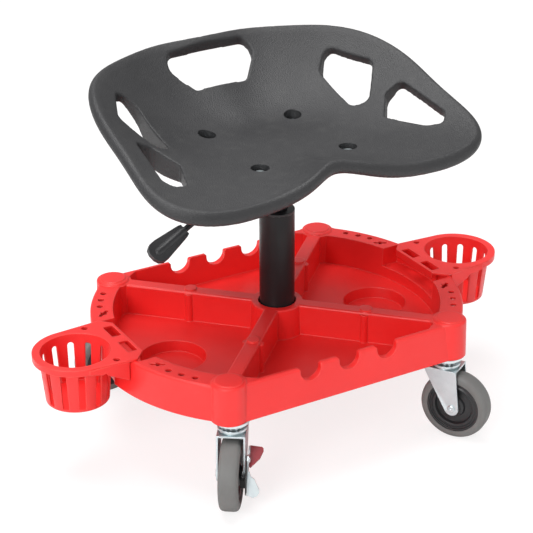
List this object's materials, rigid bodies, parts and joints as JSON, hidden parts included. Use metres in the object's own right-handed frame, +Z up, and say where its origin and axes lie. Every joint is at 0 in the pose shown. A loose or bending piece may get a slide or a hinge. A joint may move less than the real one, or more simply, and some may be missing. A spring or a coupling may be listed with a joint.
{
  "type": "rolling mechanic stool",
  "caption": "Rolling work stool with a dished open-back seat on a gas lift, a divided tool tray, clip-on side bins and swivel casters with foot brakes.",
  "frame": {"origin": "on the floor plane directly under the column's axis", "axes": "+Z up; -Y is the front, where the tray's front notches and the seat's front dip are; +X runs toward the right-hand bin"},
  "size_m": [0.7462, 0.4543, 0.5156],
  "materials": {
    "red_plastic": "moulded polypropylene, satin",
    "seat_plastic": "fine moulded grain",
    "black_steel": "black powder coat",
    "black_plastic": "moulded, semi-matte",
    "grey_tread": "grey non-marking tread",
    "black_rubber": "moulded rubber",
    "bright_steel": "ground steel",
    "zinc_steel": "bright zinc plate"
  },
  "bodies": {
    "tray_base": {"tray": "red_plastic", "base_plate": "zinc_steel", "base_screws": "zinc_steel", "column_tube": "black_steel", "guide_bush": "black_plastic", "caster_pins": "zinc_steel"},
    "turning_rod": {"piston_rod": "bright_steel", "thrust_bearing": "bright_steel", "rod_clip": "bright_steel"},
    "seat_unit": {"gas_cylinder": "black_steel", "seat_bracket": "black_steel", "seat": "seat_plastic", "seat_bolts": "zinc_steel", "seat_washers": "zinc_steel", "seat_nuts": "zinc_steel", "lever_pin": "bright_steel"},
    "release_button": {"release_pin": "bright_steel"},
    "lift_lever": {"lever_arm": "black_steel", "lever_grip": "black_plastic"},
    "left_bin": {"bin_left": "red_plastic"},
    "right_bin": {"bin_right": "red_plastic"},
    "caster_fl": {"fork_fl": "zinc_steel", "balls_fl": "bright_steel", "axle_fl": "zinc_steel", "sleeve_fl": "bright_steel", "brake_pin_fl": "bright_steel"},
    "roller_fl": {"wheel_fl": "black_plastic", "tyre_fl": "grey_tread"},
    "brake_fl": {"brake_pedal_fl": "zinc_steel"},
    "shoe_fl": {"brake_pad_fl": "black_rubber"},
    "caster_fr": {"fork_fr": "zinc_steel", "balls_fr": "bright_steel", "axle_fr": "zinc_steel", "sleeve_fr": "bright_steel"},
    "roller_fr": {"wheel_fr": "black_plastic", "tyre_fr": "grey_tread"},
    "caster_bl": {"fork_bl": "zinc_steel", "balls_bl": "bright_steel", "axle_bl": "zinc_steel", "sleeve_bl": "bright_steel"},
    "roller_bl": {"wheel_bl": "black_plastic", "tyre_bl": "grey_tread"},
    "caster_br": {"fork_br": "zinc_steel", "balls_br": "bright_steel", "axle_br": "zinc_steel", "sleeve_br": "bright_steel", "brake_pin_br": "bright_steel"},
    "roller_br": {"wheel_br": "black_plastic", "tyre_br": "grey_tread"},
    "brake_br": {"brake_pedal_br": "zinc_steel"},
    "shoe_br": {"brake_pad_br": "black_rubber"}
  },
  "joints": [
    {"name": "seat_swivel", "type": "hinge", "parent": "tray_base", "child": "turning_rod", "pos_m": [0, 0, 0.3], "axis": [0, 0, 1], "continuous": true},
    {"name": "seat_height", "type": "slide", "parent": "turning_rod", "child": "seat_unit", "axis": [0, 0, 1], "range_m": [-0.035, 0.075]},
    {"name": "lever_lift", "type": "hinge", "parent": "seat_unit", "child": "lift_lever", "pos_m": [-0.02308, -0.00658, 0.393], "axis": [-0.274, 0.9617, 0], "range_deg": [0, 8]},
    {"name": "button_press", "type": "slide", "parent": "seat_unit", "child": "release_button", "axis": [0, 0, -1], "range_m": [0, 0.0037]},
    {"name": "bin_left_lift_off", "type": "slide", "parent": "tray_base", "child": "left_bin", "axis": [0, 0, 1], "range_m": [0, 0.12]},
    {"name": "bin_right_lift_off", "type": "slide", "parent": "tray_base", "child": "right_bin", "axis": [0, 0, 1], "range_m": [0, 0.12]},
    {"name": "swivel_fl", "type": "hinge", "parent": "tray_base", "child": "caster_fl", "pos_m": [-0.1725, -0.178, 0.11], "axis": [0, 0, 1], "continuous": true},
    {"name": "spin_fl", "type": "hinge", "parent": "caster_fl", "child": "roller_fl", "pos_m": [-0.18295, -0.19265, 0.05], "axis": [0.8141, -0.5807, 0], "continuous": true},
    {"name": "brake_press_fl", "type": "hinge", "parent": "caster_fl", "child": "brake_fl", "pos_m": [-0.16529, -0.20525, 0.073], "axis": [-0.8141, 0.5807, 0], "range_deg": [0, 25]},
    {"name": "brake_shoe_fl", "type": "slide", "parent": "caster_fl", "child": "shoe_fl", "axis": [-0.8141, 0.5807, 0], "range_m": [0, 0.0012]},
    {"name": "swivel_fr", "type": "hinge", "parent": "tray_base", "child": "caster_fr", "pos_m": [0.1725, -0.178, 0.11], "axis": [0, 0, 1], "continuous": true},
    {"name": "spin_fr", "type": "hinge", "parent": "caster_fr", "child": "roller_fr", "pos_m": [0.18204, -0.19326, 0.05], "axis": [0.848, 0.5299, 0], "continuous": true},
    {"name": "swivel_bl", "type": "hinge", "parent": "tray_base", "child": "caster_bl", "pos_m": [-0.1725, 0.178, 0.11], "axis": [0, 0, 1], "continuous": true},
    {"name": "spin_bl", "type": "hinge", "parent": "caster_bl", "child": "roller_bl", "pos_m": [-0.1905, 0.178, 0.05], "axis": [0, -1, 0], "continuous": true},
    {"name": "swivel_br", "type": "hinge", "parent": "tray_base", "child": "caster_br", "pos_m": [0.1725, 0.178, 0.11], "axis": [0, 0, 1], "continuous": true},
    {"name": "spin_br", "type": "hinge", "parent": "caster_br", "child": "roller_br", "pos_m": [0.15691, 0.169, 0.05], "axis": [0.5, -0.866, 0], "continuous": true},
    {"name": "brake_press_br", "type": "hinge", "parent": "caster_br", "child": "brake_br", "pos_m": [0.16776, 0.15021, 0.073], "axis": [-0.5, 0.866, 0], "range_deg": [0, 25]},
    {"name": "brake_shoe_br", "type": "slide", "parent": "caster_br", "child": "shoe_br", "axis": [-0.5, 0.866, 0], "range_m": [0, 0.0012]}
  ],
  "couplings": [
    {"joint": "button_press", "follows": "lever_lift", "m_per_rad": 0.0258},
    {"joint": "brake_shoe_fl", "follows": "brake_press_fl", "m_per_rad": 0.00274},
    {"joint": "brake_shoe_br", "follows": "brake_press_br", "m_per_rad": 0.00274}
  ]
}
